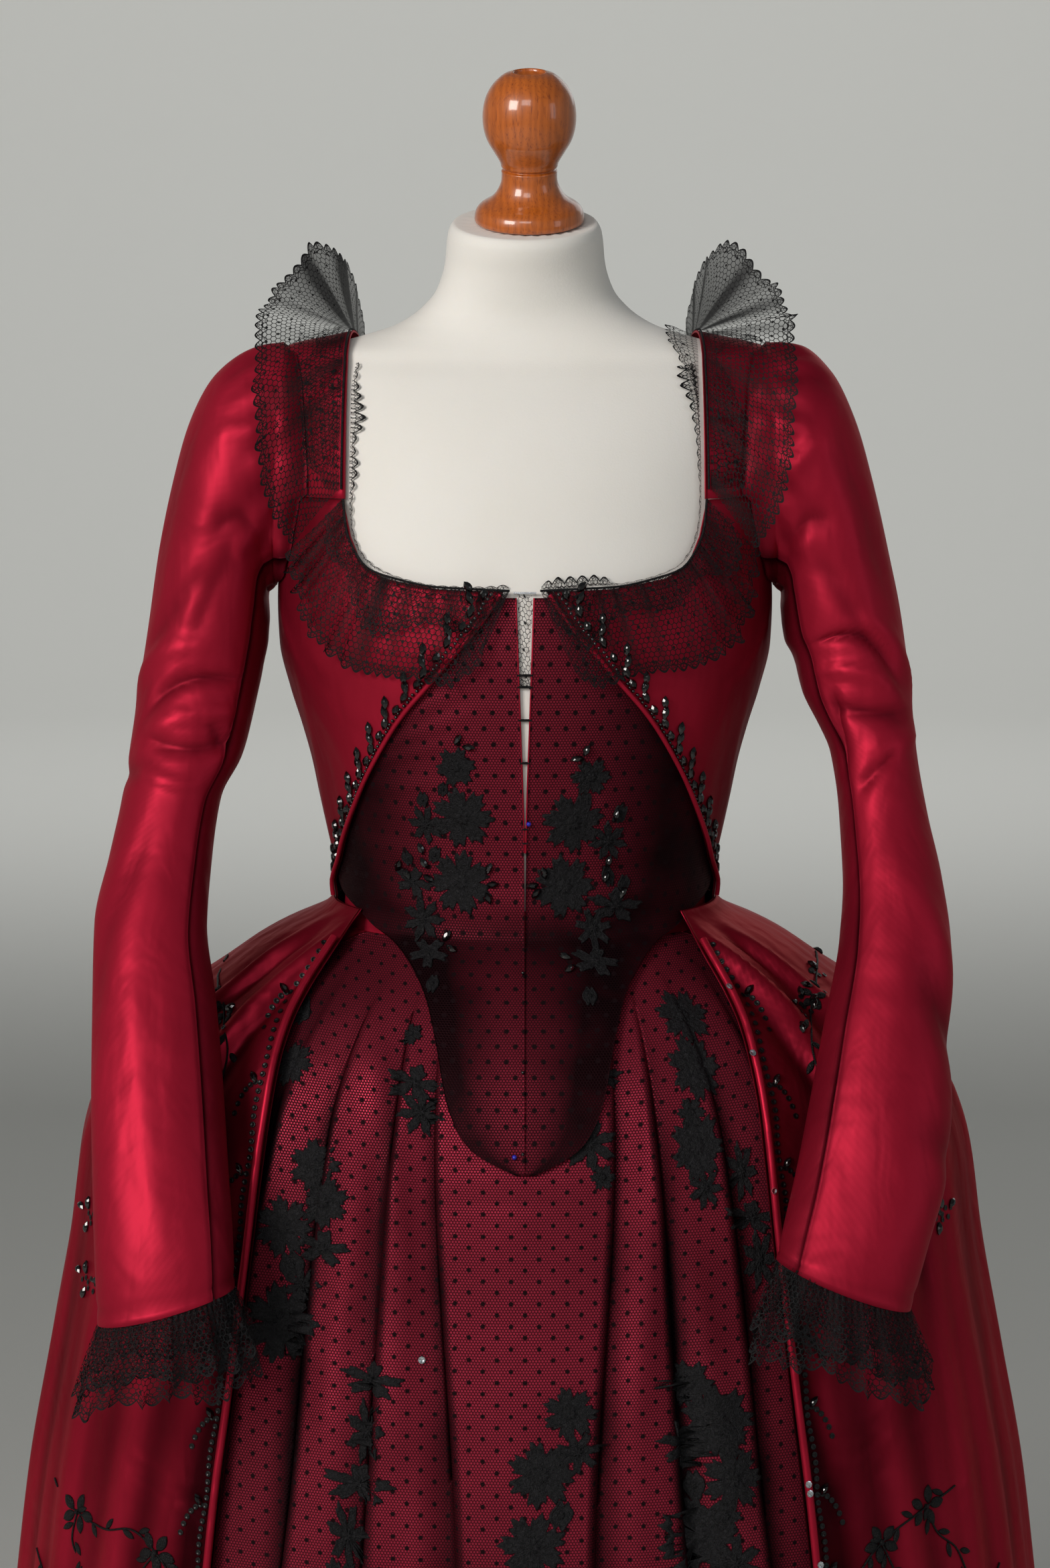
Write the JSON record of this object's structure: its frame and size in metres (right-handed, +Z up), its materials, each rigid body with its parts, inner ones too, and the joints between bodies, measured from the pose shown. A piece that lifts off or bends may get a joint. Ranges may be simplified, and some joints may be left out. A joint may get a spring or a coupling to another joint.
{
  "type": "robe a l anglaise on a dress form",
  "caption": "Long-sleeved satin robe with pointed stomacher, open skirt over a pleated petticoat and lace ruffles, worn on a limbless dress form with stand.",
  "frame": {"origin": "centre of the flat underside of the round stand base, on the floor", "axes": "+Z up the pole, -Y out of the gown's front, +X to the wearer's left"},
  "size_m": [0.8845, 0.7804, 1.6161],
  "materials": {
    "crimson_satin": "heavy duchesse satin, smooth with a soft broad sheen",
    "dotted_tulle": "black dotted tulle over crimson satin",
    "black_lace": "black point d'esprit lace and corded applique, matt",
    "cream_jersey": "tight cotton jersey cover, matt",
    "turned_wood": "turned beech, stained orange brown and lacquered",
    "stand_enamel": "semi-matt black enamel on steel",
    "jet_stones": "faceted black glass stones, beads and sequins",
    "silver_sequins": "small flat mirror sequins and pin shafts"
  },
  "bodies": {
    "root": {"form_torso": "cream_jersey", "neck_knob": "turned_wood", "stand_pole": "stand_enamel", "stand_base": "stand_enamel", "petticoat_band": "crimson_satin", "petticoat_front": "dotted_tulle", "petticoat_back": "crimson_satin", "neck_ruffle_back": "black_lace", "stomacher_right": "dotted_tulle", "bodice_front_right": "crimson_satin", "bodice_back_right": "crimson_satin", "shoulder_strap_right": "crimson_satin", "bodice_piping_right": "crimson_satin", "sleeve_upper_right": "crimson_satin", "sleeve_under_right": "crimson_satin", "cuff_ruffle_right": "black_lace", "neck_ruffle_front_right": "black_lace", "neck_ruffle_shoulder_right": "black_lace", "overskirt_right": "crimson_satin", "overskirt_roll_right": "crimson_satin", "stomacher_left": "dotted_tulle", "bodice_front_left": "crimson_satin", "bodice_back_left": "crimson_satin", "shoulder_strap_left": "crimson_satin", "bodice_piping_left": "crimson_satin", "sleeve_upper_left": "crimson_satin", "sleeve_under_left": "crimson_satin", "cuff_ruffle_left": "black_lace", "neck_ruffle_front_left": "black_lace", "neck_ruffle_shoulder_left": "black_lace", "overskirt_left": "crimson_satin", "overskirt_roll_left": "crimson_satin"}
  },
  "joints": []
}
